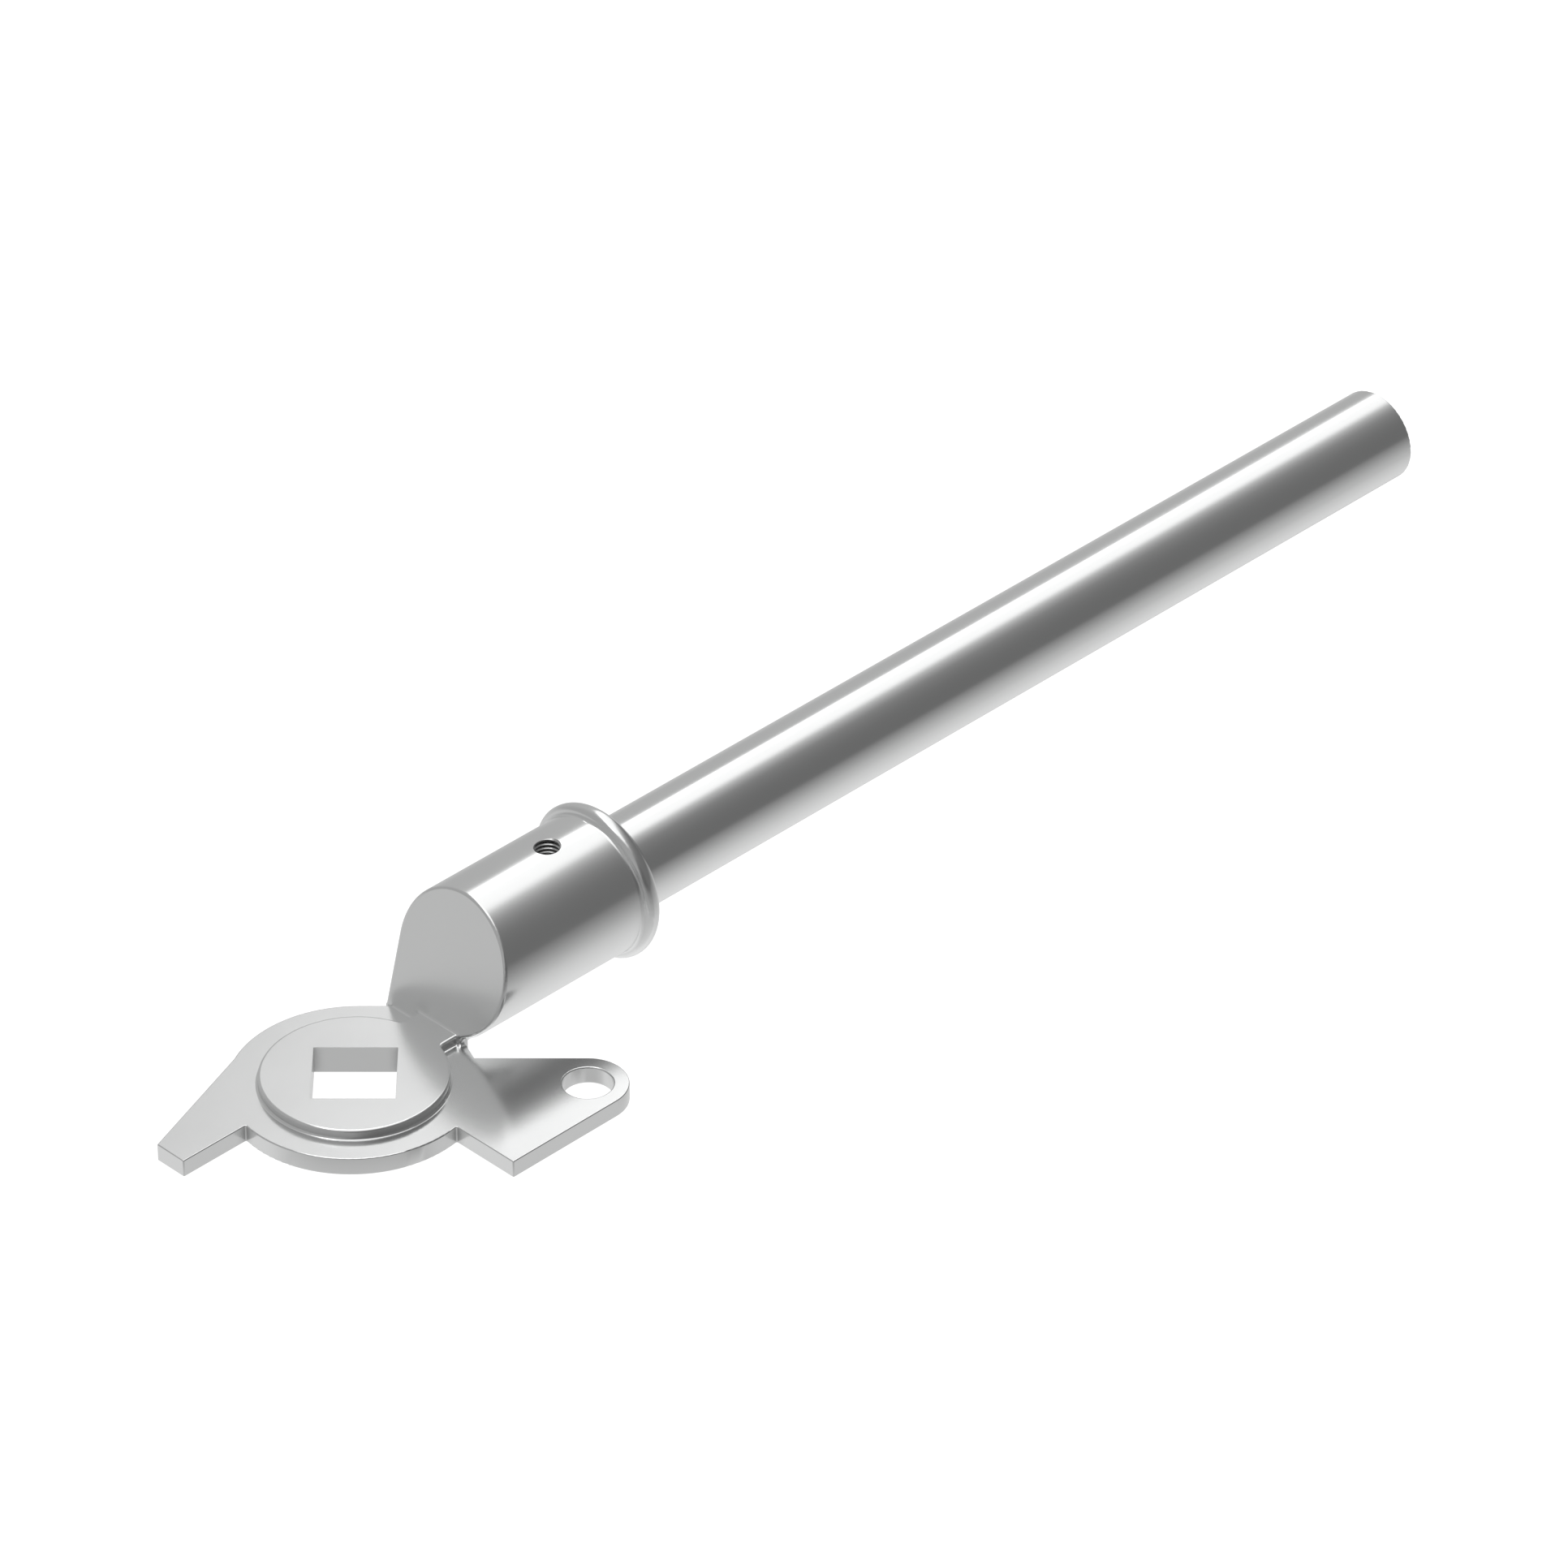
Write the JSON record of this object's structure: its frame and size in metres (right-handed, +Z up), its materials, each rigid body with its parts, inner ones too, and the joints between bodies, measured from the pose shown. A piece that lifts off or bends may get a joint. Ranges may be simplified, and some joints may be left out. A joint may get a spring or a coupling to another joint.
{
  "type": "valve lever handle",
  "caption": "Cast lever head with a square drive, stop lug, padlock ear and round socket, holding a long tube handle locked by a set screw.",
  "frame": {"origin": "centre of the square drive hole on the underside of the hub", "axes": "+Z up along the valve stem, +Y along the handle away from the hub, +X towards the padlock ear"},
  "size_m": [0.0877, 0.4498, 0.0475],
  "materials": {
    "cast_steel": "satin glass-bead blasted stainless casting",
    "tube_steel": "satin ground stainless tube",
    "screw_steel": "plain machined stainless"
  },
  "bodies": {
    "head": {"lever_head": "cast_steel"},
    "tube": {"handle_tube": "tube_steel"},
    "screw": {"set_screw": "screw_steel"}
  },
  "joints": [
    {"name": "tube_slide", "type": "slide", "parent": "head", "child": "tube", "axis": [0, 1, 0], "range_m": [0, 0.0458]},
    {"name": "screw_out", "type": "slide", "parent": "head", "child": "screw", "axis": [0, 0, 1], "range_m": [0, 0.0095]}
  ]
}
